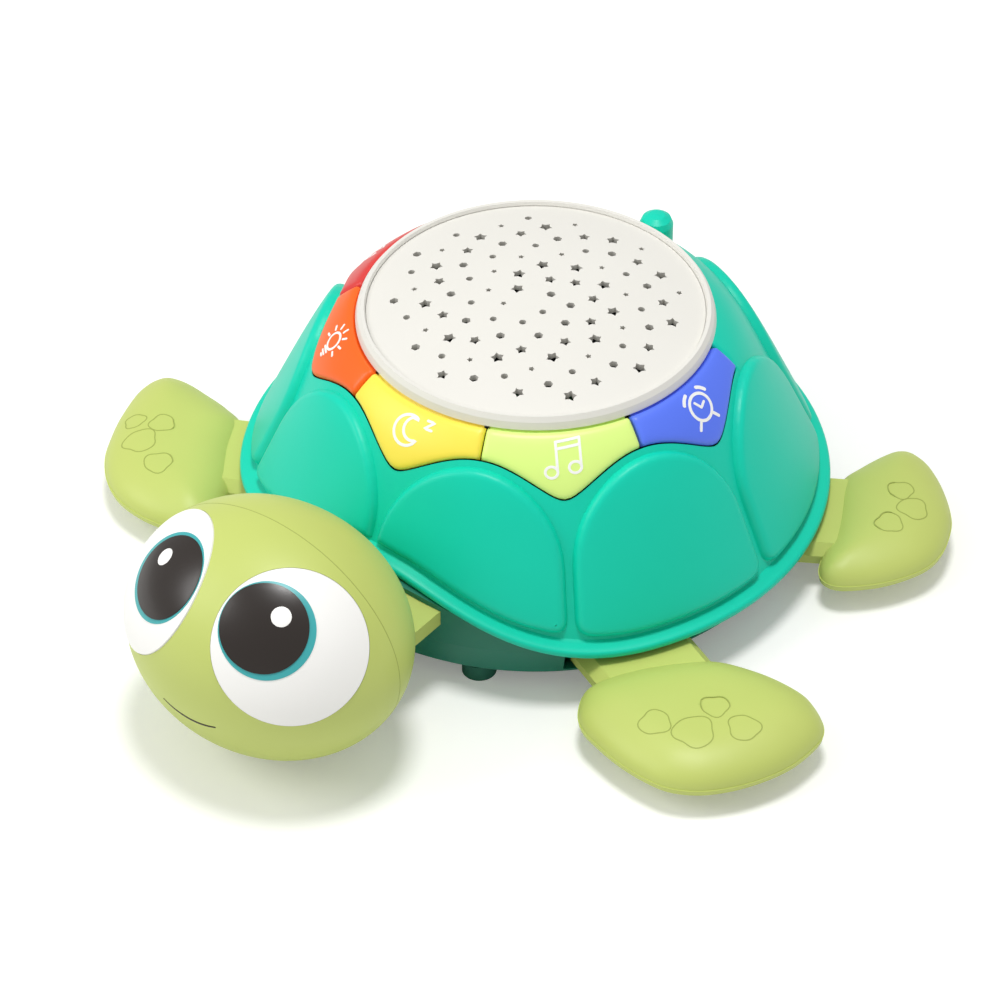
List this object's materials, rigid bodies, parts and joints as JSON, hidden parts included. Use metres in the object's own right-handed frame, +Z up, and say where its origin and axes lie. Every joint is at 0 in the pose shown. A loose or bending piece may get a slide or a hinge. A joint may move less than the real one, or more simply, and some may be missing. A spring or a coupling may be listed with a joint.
{
  "type": "star projector night light",
  "caption": "Turtle-shaped star projector night light with a perforated dome cap, press buttons, swinging flippers and a turning head.",
  "frame": {"origin": "on the table under the shell's vertical axis", "axes": "+Z up, head towards -Y, +X to the toy's side that carries the blue button"},
  "size_m": [0.2545, 0.2628, 0.08],
  "materials": {
    "shell": "teal moulded ABS, soft gloss",
    "casing": "dark teal moulded ABS, satin",
    "cap": "white moulded ABS, satin",
    "button_red": "red moulded ABS",
    "button_orange": "orange moulded ABS",
    "button_yellow": "yellow moulded ABS",
    "button_green": "light green moulded ABS",
    "button_blue": "blue moulded ABS",
    "lime": "lime moulded ABS, satin",
    "eye_white": "white moulded ABS, satin",
    "eye_iris": "teal moulded ABS",
    "eye_pupil": "near-black moulded ABS, gloss",
    "rubber": "soft feet, matt",
    "board": "green circuit board",
    "black_part": "black moulded parts",
    "lamp": "clear lamp resin",
    "steel": "zinc-plated steel",
    "cell": "plain printed sleeve",
    "paper": "pressed paper cone"
  },
  "bodies": {
    "body": {"upper_shell": "shell", "tail_stub": "shell", "lower_casing": "casing", "rubber_feet": "rubber", "battery_door": "casing", "battery_cells": "cell", "battery_contacts": "steel", "power_switch": "black_part", "casing_screws": "steel", "door_screw": "steel", "flipper_pivot_screws": "steel", "speaker_frame": "steel", "speaker_cone": "paper", "speaker_magnet": "steel", "main_board": "board", "board_parts": "black_part", "light_housing": "black_part", "led_board": "board", "led_lamps": "lamp", "button_board": "board", "button_switches": "black_part", "cap_ring": "cap", "star_screen": "cap", "neck_pin": "steel", "neck": "lime", "neck_screws": "steel"},
    "button_red": {"button_red": "button_red"},
    "button_orange": {"button_orange": "button_orange"},
    "button_yellow": {"button_yellow": "button_yellow"},
    "button_green": {"button_green": "button_green"},
    "button_blue": {"button_blue": "button_blue"},
    "flipper_front_right": {"flipper_base_front_right": "lime", "flipper_top_front_right": "lime"},
    "flipper_front_left": {"flipper_base_front_left": "lime", "flipper_top_front_left": "lime"},
    "flipper_rear_right": {"flipper_base_rear_right": "lime", "flipper_top_rear_right": "lime"},
    "flipper_rear_left": {"flipper_base_rear_left": "lime", "flipper_top_rear_left": "lime"},
    "head": {"head_front": "lime", "head_back": "lime", "eye_white_right": "eye_white", "eye_white_left": "eye_white", "eye_iris_right": "eye_iris", "eye_iris_left": "eye_iris", "eye_pupil_right": "eye_pupil", "eye_pupil_left": "eye_pupil"},
    "switch_knob": {"switch_knob": "black_part"}
  },
  "joints": [
    {"name": "press_red", "type": "slide", "parent": "body", "child": "button_red", "axis": [0, 0, -1], "range_m": [0, 0.0012], "stiffness_N_per_m": 250, "springref_m": -0.0006},
    {"name": "press_orange", "type": "slide", "parent": "body", "child": "button_orange", "axis": [0, 0, -1], "range_m": [0, 0.0012], "stiffness_N_per_m": 250, "springref_m": -0.0006},
    {"name": "press_yellow", "type": "slide", "parent": "body", "child": "button_yellow", "axis": [0, 0, -1], "range_m": [0, 0.0012], "stiffness_N_per_m": 250, "springref_m": -0.0006},
    {"name": "press_green", "type": "slide", "parent": "body", "child": "button_green", "axis": [0, 0, -1], "range_m": [0, 0.0012], "stiffness_N_per_m": 250, "springref_m": -0.0006},
    {"name": "press_blue", "type": "slide", "parent": "body", "child": "button_blue", "axis": [0, 0, -1], "range_m": [0, 0.0012], "stiffness_N_per_m": 250, "springref_m": -0.0006},
    {"name": "swing_front_right", "type": "hinge", "parent": "body", "child": "flipper_front_right", "pos_m": [0.054, -0.036, 0.0115], "axis": [0, 0, 1], "range_deg": [-12, 12]},
    {"name": "swing_front_left", "type": "hinge", "parent": "body", "child": "flipper_front_left", "pos_m": [-0.054, -0.036, 0.0115], "axis": [0, 0, 1], "range_deg": [-12, 12]},
    {"name": "swing_rear_right", "type": "hinge", "parent": "body", "child": "flipper_rear_right", "pos_m": [0.058, 0.026, 0.0115], "axis": [0, 0, 1], "range_deg": [-12, 12]},
    {"name": "swing_rear_left", "type": "hinge", "parent": "body", "child": "flipper_rear_left", "pos_m": [-0.058, 0.026, 0.0115], "axis": [0, 0, 1], "range_deg": [-12, 12]},
    {"name": "head_turn", "type": "hinge", "parent": "body", "child": "head", "pos_m": [0, -0.104, 0.03], "axis": [0, 0, 1], "range_deg": [-12, 12]},
    {"name": "power_slide", "type": "slide", "parent": "body", "child": "switch_knob", "axis": [1, 0, 0], "range_m": [-0.003, 0.003]}
  ]
}
